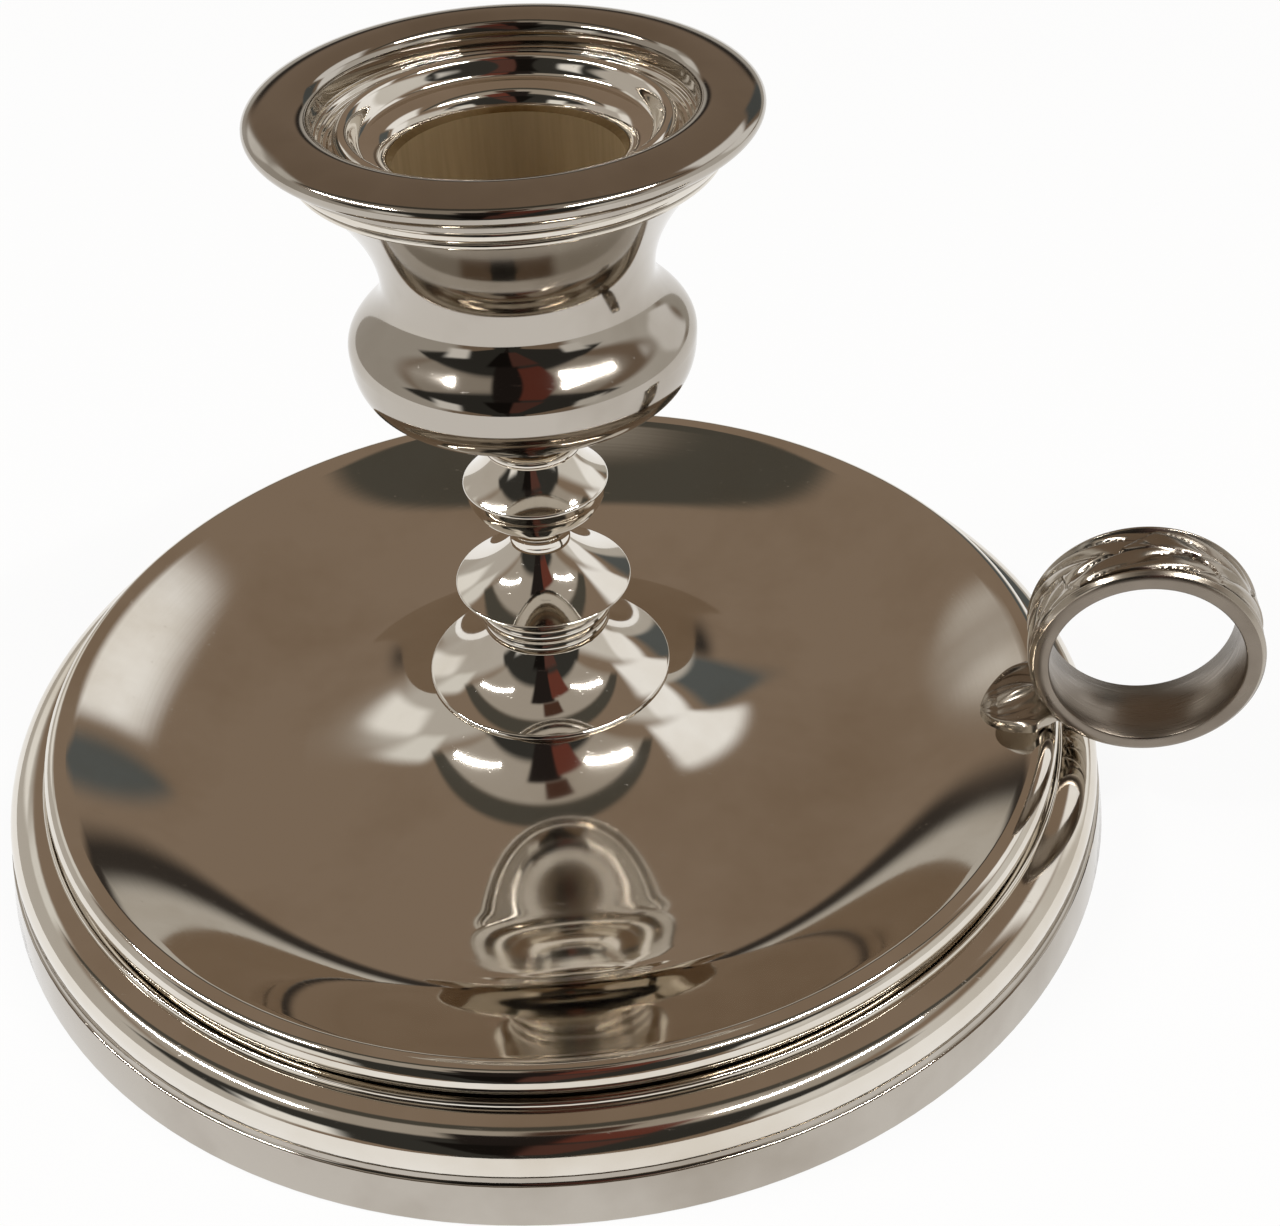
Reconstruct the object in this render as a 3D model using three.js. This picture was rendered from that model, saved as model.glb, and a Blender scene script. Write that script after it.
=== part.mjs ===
// Chamber candlestick: a dished tray with a finger ring, a turned stem and a vase-shaped socket
// that holds a loose nozzle. Millimetres, +Z up, the finger ring on +X, z = 0 on the table.
import * as THREE from "three";

// Facets round each turned piece
const traySegments = 44;
const socketSegments = 28;
const stemSegments = 20;

// Points along a curved stretch of an outline
const wideSteps = 8;
const midSteps = 6;
const smallSteps = 4;

// Clearances
const jointGap = 0.3;
const rodClearance = 0.3;
const seatClearance = 1.4;

// Sheet and small stock
const traySheet = 0.8;
const socketSheet = 1.0;
const nozzleSheet = 0.8;

// Foot band, splayed towards the table
const footRadius = 64;
const footSplay = 0.9;
const footBandHeight = 4.8;
const footBandWall = 3.8;
const coveSize = 0.9;

// Ovolo moulding and the bead on its upper edge
const ovoloWidth = 4.2;
const ovoloHeight = 4.6;
const ovoloFillet = 1.5;
const beadWidth = 0.6;

// Rolled lip of the tray
const lipRoll = 1.7;
const lipRise = 2;
const lipTangent = (124 * Math.PI) / 180;
const lipTurnIn = (-75 * Math.PI) / 180;

// Underside and pan
const feltThickness = 1.0;
const fillUnderPan = 2.3;
const fillHole = 9;
const troughRadius = 37;
const wallToe = 4.4;
const wallRun = 8;

// Trumpet pedestal in the middle of the pan; its slope is given at the top and where it meets the trough
const pedestalRadius = 10.1;
const pedestalRise = 10.6;
const pedestalSlope = (52 * Math.PI) / 180;
const pedestalSpread = 19.8;
const pedestalFootRise = 0.6;
const pedestalFootSlope = (13 * Math.PI) / 180;

// Tie rod with its washer and nut
const rodRadius = 1.5;
const rodHeadRadius = 4;
const rodHeadHeight = 2;
const rodTail = 1.2;
const washerRadius = 5.5;
const washerThickness = 1;
const nutAcrossFlats = 5.5;
const nutHeight = 2.4;

// Shoulder bell: a hollow flare; its slope is given at the edge and at the top
const shoulderRadius = 13.85;
const shoulderHeight = 6.95;
const shoulderLift = 0.5;
const shoulderEdge = 0.6;
const shoulderTop = 6.3;
const shoulderEdgeSlope = (24 * Math.PI) / 180;
const shoulderTopSlope = (53 * Math.PI) / 180;

// Reed collar: three reeds, each one wider than the one below
const reedHeight = 1.83;
const reedRadius = 7.2;
const reedStep = 0.35;
const reedDepth = 0.7;

// Lower knop: a flare like the shoulder
const lowerKnopRadius = 9.85;
const lowerKnopHeight = 5.8;
const lowerKnopFoot = 8.9;
const lowerKnopEdge = 0.7;
const lowerKnopTop = 3.3;
const lowerKnopEdgeSlope = (29 * Math.PI) / 180;
const lowerKnopTopSlope = (49 * Math.PI) / 180;

// Spool
const spoolHeight = 3.8;
const spoolFoot = 3.3;
const spoolWaist = 2.9;
const spoolHead = 4.4;
const spoolFlange = 0.4;

// Upper knop: rounded below, a crisp edge, the widest part a little above it and a flare
const upperKnopRadius = 7.85;
const upperKnopHeight = 8.1;
const upperKnopFoot = 4.4;
const upperKnopRise = 3.3;
const upperKnopEdge = 7.5;
const upperKnopBelly = 0.9;
const upperKnopTop = 4.4;
const upperKnopEdgeSlope = (38 * Math.PI) / 180;
const upperKnopTopSlope = (58 * Math.PI) / 180;

// Neck collar
const collarHeight = 5.7;
const collarRing = 5.2;
const collarRingHeight = 1.2;
const collarWaist = 4.3;
const collarHead = 6.7;

// Fillet ring under the vase
const filletHeight = 2.5;
const filletFoot = 9.6;
const filletStep = 0.9;
const filletHead = 12.6;

// Vase-shaped socket
const bulbRadius = 17.6;
const bulbHeight = 5.7;
const bulbFoot = 14.1;
const neckHeight = 19.2;
const neckRoll = 2.6;
const neckWaistRise = 6.9;
const neckWaist = 13.6;
const neckHead = 19.9;
const neckLean = 3.9;

// Socket lip: a small reed under a larger one
const socketLipReach = 1.3;
const socketLipHeight = 2.2;
const socketLipStep = 0.5;
const socketLipDepth = 1.6;

// Loose nozzle: a broad domed rim, a stepped pan and a moulded mouth over the tube
const candleBore = 11.1;
const tubeFloorGap = 1.6;
const tubeWall = 0.7;
const nozzleOverhang = 3.15;
const rimOuterWidth = 3.9;
const rimInnerWidth = 2.4;
const rimCrest = 1.6;
const rimLift = 1.3;
const rimUnder = 1.1;
const rimRound = 1.3;
const rimBand = 1.3;
const panStep = 0.5;
const panTrough = 1.5;
const troughWidth = 1.2;
const mouthFlange = 1.2;
const mouthCrest = 1.0;
const mouthCrestHeight = 1.2;
const mouthValley = 0.1;
const mouthFall = 1.8;
const mouthRollHeight = 2.2;
const mouthLand = 0.3;

// Finger ring
const ringInner = 10.2;
const ringBand = 2.1;
const ringWidth = 9.1;
const ringCrown = 0.45;
const ringReach = 9.1;
const ringSegments = 40;

// Leaf thumb-piece
const leafThickness = 0.8;
const leafLength = 7.4;
const leafHalfWidth = 5.6;
const leafRootHalf = 3.2;
const leafOutboard = 0.5;

// Materials
const silver = { color: 0xb7b0a6, roughness: 0.14, metalness: 1 };
const brushedSilver = { color: 0xaca498, roughness: 0.32, metalness: 1 };
const gilt = { color: 0xa8813f, roughness: 0.3, metalness: 1 };
const steel = { color: 0x8a8a88, roughness: 0.45, metalness: 1 };
const plaster = { color: 0x6d655b, roughness: 0.9, metalness: 0 };
const felt = { color: 0x2f4a35, roughness: 0.95, metalness: 0 };

const holder = new THREE.Group();
holder.name = "chamber_candlestick";

function addPiece(name, geometry, look) {
  const mesh = new THREE.Mesh(geometry, new THREE.MeshStandardMaterial(look));
  mesh.name = name;
  holder.add(mesh);
}

function at(r, z) {
  return new THREE.Vector2(r, z);
}

// Points of an ellipse quarter or any part of one, both ends included
function arc(centre, radiusR, radiusZ, from, to, steps) {
  return Array.from({ length: steps + 1 }, (_, i) => {
    const angle = from + ((to - from) * i) / steps;
    return at(centre.x + radiusR * Math.cos(angle), centre.y + radiusZ * Math.sin(angle));
  });
}

function curve(start, startPull, endPull, end, steps) {
  return new THREE.CubicBezierCurve(start, startPull, endPull, end).getPoints(steps);
}

// Face from a low outer edge to a high inner one, with its slope at either end
function slopedFace(low, high, lowSlope, highSlope, steps) {
  const pull = facePull * low.distanceTo(high);
  return curve(
    low,
    at(low.x - pull * Math.cos(lowSlope), low.y + pull * Math.sin(lowSlope)),
    at(high.x + pull * Math.cos(highSlope), high.y - pull * Math.sin(highSlope)),
    high,
    steps,
  );
}

// Underside of a sheet whose upper face is given, running outwards from the axis
function underside(face, thickness) {
  return face.map((point, i) => {
    const before = face[Math.max(i - 1, 0)].clone();
    const after = face[Math.min(i + 1, face.length - 1)].clone();
    const into = point.clone().sub(before).normalize();
    const out = after.clone().sub(point).normalize();
    const along = into.clone().add(out).normalize();
    const corner = i > 0 && i < face.length - 1 ? into.dot(along) : 1;
    return at(point.x + (along.y * thickness) / corner, point.y - (along.x * thickness) / corner);
  });
}

function closedOutline(points) {
  const outline = points.filter((point, i) => i === 0 || point.distanceTo(points[i - 1]) > 1e-3);
  if (THREE.ShapeUtils.area(outline) < 0) {
    outline.reverse();
  }
  return outline;
}

// Ring turned round Z whose outline closes on itself
function turnedRing(points, segments) {
  const outline = closedOutline(points);
  outline.push(outline[0].clone());
  return new THREE.LatheGeometry(outline, segments).rotateX(Math.PI / 2);
}

// Solid turned round Z whose outline starts and ends on the axis
function turnedSolid(points, segments) {
  return new THREE.LatheGeometry(points, segments).rotateX(Math.PI / 2);
}

const quarter = Math.PI / 2;
const facePull = 0.35;
const rodHole = rodRadius + rodClearance;

// Heights of the tray, from the table up
const panFloor = feltThickness + fillUnderPan + jointGap + traySheet;
const bandTop = footBandHeight + coveSize;
const ovoloTop = bandTop + ovoloHeight;
const pedestalTop = panFloor + pedestalRise;

// Radii of the tray, from the foot inwards
const bandTopRadius = footRadius - footSplay;
const footInner = footRadius - footBandWall;
const ovoloOuter = bandTopRadius - coveSize / 2;
const ovoloEdge = ovoloOuter - ovoloWidth;
const lipOuter = ovoloEdge - beadWidth;
const lipCentre = at(lipOuter - lipRoll, ovoloTop + lipRise);
const lipTop = lipCentre.y + lipRoll;
const ovoloInner = lipOuter - lipRoll / 2;

// Upper face of the pan: pedestal trumpet, bend into the trough, wall and rolled lip
const pedestalFoot = at(pedestalRadius + pedestalSpread, panFloor + pedestalFootRise);
const trumpet = slopedFace(
  pedestalFoot,
  at(pedestalRadius, pedestalTop),
  pedestalFootSlope,
  pedestalSlope,
  wideSteps,
).reverse();
const bend = slopedFace(at(troughRadius, panFloor), pedestalFoot, 0, pedestalFootSlope, smallSteps).reverse();
const lipStart = at(
  lipCentre.x + lipRoll * Math.cos(lipTangent),
  lipCentre.y + lipRoll * Math.sin(lipTangent),
);
const wall = curve(
  at(troughRadius, panFloor),
  at(troughRadius + wallToe, panFloor),
  at(lipStart.x - wallRun * Math.sin(lipTangent), lipStart.y + wallRun * Math.cos(lipTangent)),
  lipStart,
  midSteps,
);
const lip = arc(lipCentre, lipRoll, lipRoll, lipTangent, lipTurnIn, midSteps);
const panFace = [
  at(rodHole, pedestalTop),
  ...trumpet,
  ...bend.slice(1),
  ...wall.slice(1),
  ...lip.slice(1),
];

function dishPan() {
  return turnedRing([...panFace, ...underside(panFace, traySheet).reverse()], traySegments);
}
addPiece("dish_pan", dishPan(), silver);

function footBand() {
  const coveCentre = at(bandTopRadius, bandTop);
  const cove = arc(coveCentre, coveSize / 2, coveSize, -quarter, -2 * quarter, smallSteps);
  return turnedRing(
    [
      at(footInner, 0),
      at(footRadius, 0),
      at(bandTopRadius, footBandHeight),
      ...cove,
      at(footInner, bandTop),
    ],
    traySegments,
  );
}
addPiece("foot_band", footBand(), silver);

function rimOvolo() {
  const centre = at(ovoloEdge, bandTop + ovoloFillet);
  const round = arc(centre, ovoloWidth, ovoloHeight - ovoloFillet, 0, quarter, midSteps);
  return turnedRing(
    [at(ovoloInner, bandTop), at(ovoloOuter, bandTop), ...round, at(ovoloInner, ovoloTop)],
    traySegments,
  );
}
addPiece("rim_ovolo", rimOvolo(), silver);

function rimBead() {
  const centre = at(lipOuter + beadWidth / 2, ovoloTop);
  return turnedRing(arc(centre, beadWidth / 2, beadWidth, 0, 2 * quarter, smallSteps), traySegments);
}
addPiece("rim_bead", rimBead(), silver);

function baseFill() {
  const depth = traySheet + jointGap;
  const inner = [...trumpet.slice(3), ...bend.slice(1)];
  const outer = wall.slice(1, -3);
  const top = underside([...inner, ...outer], depth);
  const fillOuter = ovoloInner - jointGap;
  const highInner = top[0].y;
  const highOuter = top[top.length - 1].y;
  return turnedRing(
    [
      at(fillHole, feltThickness),
      at(fillOuter, feltThickness),
      at(fillOuter, highOuter),
      ...top.reverse(),
      at(fillHole, highInner),
    ],
    traySegments,
  );
}
addPiece("base_fill", baseFill(), plaster);

function feltPad() {
  const feltRadius = footInner - jointGap;
  return turnedSolid(
    [at(0, 0), at(feltRadius, 0), at(feltRadius, feltThickness), at(0, feltThickness)],
    traySegments,
  );
}
addPiece("felt_pad", feltPad(), felt);

// Heights of the stem, each piece standing on the one below
const shoulderZ = pedestalTop;
const reedZ = shoulderZ + shoulderHeight;
const lowerKnopZ = reedZ + 3 * reedHeight;
const spoolZ = lowerKnopZ + lowerKnopHeight;
const upperKnopZ = spoolZ + spoolHeight;
const collarZ = upperKnopZ + upperKnopHeight;
const filletZ = collarZ + collarHeight;
const bulbZ = filletZ + filletHeight;
const neckZ = bulbZ + bulbHeight;
const socketLipZ = neckZ + neckHeight;
const socketTop = socketLipZ + socketLipHeight;

// Stem piece bored for the tie rod: its outer outline runs from its lower face to its upper face
function stemPiece(outer) {
  const low = outer[0].y;
  const high = outer[outer.length - 1].y;
  return turnedRing([at(rodHole, low), ...outer, at(rodHole, high)], stemSegments);
}

function shoulderBell() {
  const edge = shoulderZ + shoulderLift;
  const face = slopedFace(
    at(shoulderRadius, edge + shoulderEdge),
    at(shoulderTop, reedZ),
    shoulderEdgeSlope,
    shoulderTopSlope,
    midSteps,
  );
  return stemPiece([at(pedestalRadius, shoulderZ), at(shoulderRadius, edge), ...face]);
}
addPiece("shoulder_bell", shoulderBell(), silver);

function reedCollar() {
  const reeds = [0, 1, 2].flatMap((i) => {
    const centre = at(reedRadius + i * reedStep - reedDepth, reedZ + (i + 0.5) * reedHeight);
    return arc(centre, reedDepth, reedHeight / 2, -quarter, quarter, smallSteps);
  });
  return stemPiece(reeds);
}
addPiece("reed_collar", reedCollar(), silver);

function lowerKnop() {
  const face = slopedFace(
    at(lowerKnopRadius, lowerKnopZ + lowerKnopEdge),
    at(lowerKnopTop, spoolZ),
    lowerKnopEdgeSlope,
    lowerKnopTopSlope,
    wideSteps,
  );
  return stemPiece([at(lowerKnopFoot, lowerKnopZ), ...face]);
}
addPiece("lower_knop", lowerKnop(), silver);

function spool() {
  const waist = curve(
    at(spoolFoot, spoolZ + spoolFlange),
    at(spoolWaist, spoolZ + spoolHeight / 3),
    at(spoolWaist, spoolZ + (2 * spoolHeight) / 3),
    at(spoolHead, upperKnopZ - spoolFlange),
    midSteps,
  );
  return stemPiece([at(spoolFoot, spoolZ), ...waist, at(spoolHead, upperKnopZ)]);
}
addPiece("spool", spool(), silver);

function upperKnop() {
  const edgeZ = upperKnopZ + upperKnopRise;
  const under = arc(
    at(upperKnopFoot, edgeZ),
    upperKnopEdge - upperKnopFoot,
    upperKnopRise,
    -quarter,
    0,
    midSteps,
  );
  const face = slopedFace(
    at(upperKnopRadius, edgeZ + upperKnopBelly),
    at(upperKnopTop, collarZ),
    upperKnopEdgeSlope,
    upperKnopTopSlope,
    midSteps,
  );
  return stemPiece([...under, ...face]);
}
addPiece("upper_knop", upperKnop(), silver);

function neckCollar() {
  const ringTop = collarZ + collarRingHeight;
  const ring = arc(
    at(collarRing - collarRingHeight / 2, collarZ + collarRingHeight / 2),
    collarRingHeight / 2,
    collarRingHeight / 2,
    -quarter,
    quarter,
    smallSteps,
  );
  const waist = curve(
    at(collarWaist, ringTop),
    at(collarWaist, ringTop + collarHeight / 3),
    at(collarWaist, filletZ - collarHeight / 4),
    at(collarHead, filletZ),
    midSteps,
  );
  return stemPiece([...ring, ...waist]);
}
addPiece("neck_collar", neckCollar(), silver);

function bulbFillet() {
  const stepZ = filletZ + filletStep;
  const width = filletHead - filletFoot;
  const sweep = arc(at(filletFoot, bulbZ), width, bulbZ - stepZ, -quarter, 0, smallSteps);
  return stemPiece([at(filletFoot, filletZ), ...sweep]);
}
addPiece("bulb_fillet", bulbFillet(), silver);

// Lower half of the vase: a cup with a flat bored floor
const bulbCurve = curve(
  at(bulbFoot, bulbZ),
  at(bulbFoot + (2 * (bulbRadius - bulbFoot)) / 3, bulbZ + bulbHeight / 8),
  at(bulbRadius, bulbZ + bulbHeight / 3),
  at(bulbRadius, neckZ),
  midSteps,
);

function socketBulb() {
  const inside = bulbCurve.map((p) => at(p.x - socketSheet, Math.max(p.y, bulbZ + socketSheet)));
  return turnedRing(
    [at(rodHole, bulbZ), ...bulbCurve, ...inside.reverse(), at(rodHole, bulbZ + socketSheet)],
    socketSegments,
  );
}
addPiece("socket_bulb", socketBulb(), silver);

// Upper half of the vase: a roll above the widest part, the waist and the flare to the lip
function socketNeck() {
  const waistZ = neckZ + neckWaistRise;
  const ogee = curve(
    at(bulbRadius, neckZ),
    at(bulbRadius, neckZ + neckRoll),
    at(neckWaist, waistZ - neckWaistRise / 2),
    at(neckWaist, waistZ),
    midSteps,
  );
  const flareHeight = socketLipZ - waistZ;
  const flare = curve(
    at(neckWaist, waistZ),
    at(neckWaist, waistZ + flareHeight / 3),
    at(neckHead - neckLean, socketLipZ - flareHeight / 3),
    at(neckHead, socketLipZ),
    midSteps,
  );
  const outside = [...ogee, ...flare.slice(1)];
  const inside = outside.map((p) => at(p.x - socketSheet, p.y));
  return turnedRing([...outside, ...inside.reverse()], socketSegments);
}
addPiece("socket_neck", socketNeck(), silver);

const socketLipInner = neckHead - socketLipDepth;
const socketLipRadius = neckHead + socketLipReach;

function socketLip() {
  const fold = socketLipZ + socketLipHeight / 3;
  const low = (fold - socketLipZ) / 2;
  const high = (socketTop - fold) / 2;
  const lowCentre = at(socketLipRadius - socketLipStep - low, socketLipZ + low);
  const highCentre = at(socketLipRadius - high, fold + high);
  return turnedRing(
    [
      at(socketLipInner, socketLipZ),
      ...arc(lowCentre, low, low, -quarter, quarter, smallSteps),
      ...arc(highCentre, high, high, -quarter, quarter, smallSteps),
      at(socketLipInner, socketTop),
    ],
    socketSegments,
  );
}
addPiece("socket_lip", socketLip(), silver);

// Tie rod: its head lies on the floor of the vase, its tail stands out below the nut
const washerTop = pedestalTop - traySheet;
const nutTop = washerTop - washerThickness;
const rodFloor = bulbZ + socketSheet;

function tieRod() {
  return turnedSolid(
    [
      at(0, nutTop - nutHeight - rodTail),
      at(rodRadius, nutTop - nutHeight - rodTail),
      at(rodRadius, rodFloor),
      at(rodHeadRadius, rodFloor),
      at(rodHeadRadius, rodFloor + rodHeadHeight),
      at(0, rodFloor + rodHeadHeight),
    ],
    stemSegments,
  );
}
addPiece("tie_rod", tieRod(), steel);

function baseWasher() {
  return turnedRing(
    [at(rodHole, nutTop), at(washerRadius, nutTop), at(washerRadius, washerTop), at(rodHole, washerTop)],
    stemSegments,
  );
}
addPiece("base_washer", baseWasher(), steel);

function baseNut() {
  const cornerRadius = nutAcrossFlats / 2 / Math.cos(Math.PI / 6);
  const corners = Array.from({ length: 6 }, (_, i) => {
    const angle = (i * Math.PI) / 3;
    return at(cornerRadius * Math.cos(angle), cornerRadius * Math.sin(angle));
  });
  const hexagon = new THREE.Shape(corners);
  const hole = new THREE.Path();
  hole.absarc(0, 0, rodHole, 0, 2 * Math.PI, true);
  hexagon.holes.push(hole);
  const nut = new THREE.ExtrudeGeometry(hexagon, {
    depth: nutHeight,
    bevelEnabled: false,
    curveSegments: wideSteps,
  });
  return nut.translate(0, 0, nutTop - nutHeight);
}
addPiece("base_nut", baseNut(), steel);

// Loose nozzle: the pan rests on the socket lip
const nozzleSeat = socketTop + jointGap;
const nozzleFace = nozzleSeat + nozzleSheet;
const nozzleRadius = socketLipRadius + nozzleOverhang;
const rimMiddle = at(nozzleRadius - rimOuterWidth, nozzleFace + rimLift);
const rimInner = rimMiddle.x - rimInnerWidth;
const ledgeInner = socketLipInner - jointGap;
const troughOuter = socketLipInner - seatClearance;
const mouthRadius = troughOuter - troughWidth / 2;
const mouthSeat = nozzleFace - panTrough;
const mouthValleyZ = mouthSeat - mouthValley;
const mouthFoot = mouthValleyZ - mouthRollHeight - mouthLand;

function nozzlePan() {
  const face = [
    at(mouthRadius - mouthFlange, mouthSeat),
    at(troughOuter, mouthSeat),
    at(ledgeInner, nozzleFace - panStep),
    at(ledgeInner, nozzleFace),
    at(socketLipRadius, nozzleFace),
  ];
  const back = [
    at(socketLipRadius, nozzleSeat),
    at(ledgeInner, nozzleSeat),
    at(troughOuter, mouthSeat - nozzleSheet),
    at(mouthRadius - mouthFlange, mouthSeat - nozzleSheet),
  ];
  return turnedRing([...face, ...back], socketSegments);
}
addPiece("nozzle_pan", nozzlePan(), silver);

function nozzleRim() {
  const bandRadius = socketLipRadius + rimBand;
  const underCentre = at(nozzleRadius - rimRound, rimMiddle.y);
  const under = arc(underCentre, rimRound, rimUnder, -quarter, 0, smallSteps);
  const outer = arc(rimMiddle, rimOuterWidth, rimCrest, 0, quarter, midSteps);
  const inner = arc(rimMiddle, rimInnerWidth, rimCrest, quarter, 2 * quarter, midSteps);
  return turnedRing(
    [
      at(socketLipRadius, nozzleSeat),
      at(bandRadius, nozzleSeat),
      at(bandRadius, rimMiddle.y - rimUnder),
      ...under,
      ...outer.slice(1),
      ...inner.slice(1),
      at(rimInner, nozzleFace),
      at(socketLipRadius, nozzleFace),
    ],
    socketSegments,
  );
}
addPiece("nozzle_rim", nozzleRim(), silver);

function nozzleMouth() {
  const centre = at(mouthRadius - mouthCrest, mouthSeat + mouthFlange / 2);
  const crest = arc(centre, mouthCrest, mouthCrestHeight, 0, quarter, smallSteps);
  const crestTop = crest[crest.length - 1];
  const valley = at(crestTop.x - mouthFall, mouthValleyZ);
  const fall = curve(
    crestTop,
    at((crestTop.x + valley.x) / 2, crestTop.y),
    at((crestTop.x + valley.x) / 2, valley.y),
    valley,
    midSteps,
  );
  const rollCentre = at(valley.x, valley.y - mouthRollHeight);
  const rollWidth = valley.x - candleBore;
  const roll = arc(rollCentre, rollWidth, mouthRollHeight, quarter, 2 * quarter, smallSteps);
  const neck = mouthRadius - mouthFlange - jointGap;
  return turnedRing(
    [
      at(mouthRadius, mouthSeat),
      ...crest,
      ...fall.slice(1),
      ...roll.slice(1),
      at(candleBore, mouthFoot),
      at(candleBore + tubeWall, mouthFoot),
      at(neck, mouthSeat - nozzleSheet),
      at(neck, mouthSeat),
    ],
    socketSegments,
  );
}
addPiece("nozzle_mouth", nozzleMouth(), silver);

function nozzleTube() {
  const tubeOuter = candleBore + tubeWall;
  const tubeFoot = rodFloor + rodHeadHeight + tubeFloorGap;
  return turnedSolid(
    [
      at(0, tubeFoot),
      at(tubeOuter, tubeFoot),
      at(tubeOuter, mouthFoot),
      at(candleBore, mouthFoot),
      at(candleBore, tubeFoot + tubeWall),
      at(0, tubeFoot + tubeWall),
    ],
    socketSegments,
  );
}
addPiece("nozzle_tube", nozzleTube(), gilt);

// Leaf thumb-piece: lies on the lip, its tip towards the stem
const leafZ = lipTop + jointGap;
const leafRoot = lipCentre.x + leafOutboard;
const leafTop = leafZ + leafThickness;

function handleLeaf() {
  const tip = leafRoot - leafLength;
  const belly = leafRoot - leafLength / 2;
  const leaf = new THREE.Shape();
  leaf.moveTo(leafRoot, -leafRootHalf);
  leaf.lineTo(leafRoot, leafRootHalf);
  leaf.quadraticCurveTo(belly + leafLength / 4, leafHalfWidth, belly, leafHalfWidth);
  leaf.quadraticCurveTo(tip, leafHalfWidth, tip, 0);
  leaf.quadraticCurveTo(tip, -leafHalfWidth, belly, -leafHalfWidth);
  leaf.quadraticCurveTo(belly + leafLength / 4, -leafHalfWidth, leafRoot, -leafRootHalf);
  const plate = new THREE.ExtrudeGeometry(leaf, {
    depth: leafThickness,
    bevelEnabled: false,
    curveSegments: wideSteps,
  });
  return plate.translate(0, 0, leafZ);
}
addPiece("handle_leaf", handleLeaf(), silver);

// Finger ring: a crowned band standing on the outer end of the leaf, its axis along Y
function ringHandle() {
  const ringOuter = ringInner + ringBand;
  const half = ringWidth / 2;
  const crown = arc(at(ringOuter - ringCrown, 0), ringCrown, half, -quarter, quarter, midSteps);
  const band = closedOutline([at(ringInner, -half), ...crown, at(ringInner, half)]);
  band.push(band[0].clone());
  const drop = Math.sqrt(ringOuter * ringOuter - ringReach * ringReach);
  const ring = new THREE.LatheGeometry(band, ringSegments);
  return ring.translate(leafRoot + ringReach, 0, leafTop + jointGap + drop);
}
addPiece("ring_handle", ringHandle(), brushedSilver);

export default holder;
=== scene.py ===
import math
import bmesh
import bpy
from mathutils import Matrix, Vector
from mathutils.geometry import interpolate_bezier


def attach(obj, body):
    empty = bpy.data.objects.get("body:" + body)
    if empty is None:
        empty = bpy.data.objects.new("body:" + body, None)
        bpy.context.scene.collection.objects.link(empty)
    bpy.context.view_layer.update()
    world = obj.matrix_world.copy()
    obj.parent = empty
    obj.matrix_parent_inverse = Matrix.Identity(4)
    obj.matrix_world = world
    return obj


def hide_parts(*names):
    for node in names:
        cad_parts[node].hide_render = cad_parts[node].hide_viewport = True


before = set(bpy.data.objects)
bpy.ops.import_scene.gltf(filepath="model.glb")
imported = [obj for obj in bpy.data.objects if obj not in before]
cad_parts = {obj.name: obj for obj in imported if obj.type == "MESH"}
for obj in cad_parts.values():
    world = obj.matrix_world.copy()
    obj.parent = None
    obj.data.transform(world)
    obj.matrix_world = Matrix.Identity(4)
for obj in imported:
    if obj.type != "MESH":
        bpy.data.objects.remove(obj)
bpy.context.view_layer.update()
mm = 0.001
stemBore = 1.8  # hole for the tie rod, up the whole stem


# outlines are (radius, height) in mm; a third number rounds that corner
def arc(centre, radii, start, end, steps):
    points = []
    for i in range(steps + 1):
        angle = math.radians(start + (end - start) * i / steps)
        points.append((centre[0] + radii[0] * math.cos(angle), centre[1] + radii[1] * math.sin(angle)))
    return points


def sweep(start, startPull, endPull, end, steps):
    knots = [Vector((r, z)) for r, z in (start, startPull, endPull, end)]
    return [(p.x, p.y) for p in interpolate_bezier(*knots, steps + 1)]


# a face from a low outer edge to a high inner one, with its slope in degrees at each end
def slopedFace(low, high, lowSlope, highSlope, steps):
    pull = 0.35 * math.dist(low, high)  # how far in each slope is held
    lowTurn, highTurn = math.radians(lowSlope), math.radians(highSlope)
    return sweep(low, (low[0] - pull * math.cos(lowTurn), low[1] + pull * math.sin(lowTurn)),
                 (high[0] + pull * math.cos(highTurn), high[1] - pull * math.sin(highTurn)), high, steps)


# the far side of a sheet whose good face is given
def sheetBack(face, thickness):
    back = []
    for i, point in enumerate(face):
        before = face[max(i - 1, 0)]
        after = face[min(i + 1, len(face) - 1)]
        along = Vector((after[0] - before[0], after[1] - before[1])).normalized()
        back.append((point[0] + along.y * thickness, point[1] - along.x * thickness))
    return back[::-1]


def wireOutline(outline, closed):
    bm = bmesh.new()
    verts = [bm.verts.new((point[0] * mm, 0, point[1] * mm)) for point in outline]
    for a, b in zip(verts, verts[1:]):
        bm.edges.new((a, b))
    if closed:
        bm.edges.new((verts[-1], verts[0]))
    for vert, point in zip(verts, outline):
        if len(point) == 3:
            bmesh.ops.bevel(bm, geom=[vert], offset=point[2] * mm, offset_type="OFFSET", affect="VERTICES",
                            segments=4, profile=0.5, material=-1)
    return bm


# spins the outline right round, about the stem unless another centre and axis are given
def spinRound(bm, steps, centre=(0, 0, 0), axis=(0, 0, 1)):
    bmesh.ops.spin(bm, geom=bm.verts[:] + bm.edges[:], cent=centre, axis=axis, dvec=(0, 0, 0),
                   angle=2 * math.pi, steps=steps, use_merge=True)
    bmesh.ops.remove_doubles(bm, verts=bm.verts[:], dist=1e-6)
    bmesh.ops.dissolve_degenerate(bm, dist=1e-7, edges=bm.edges[:])
    bmesh.ops.recalc_face_normals(bm, faces=bm.faces[:])


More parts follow.
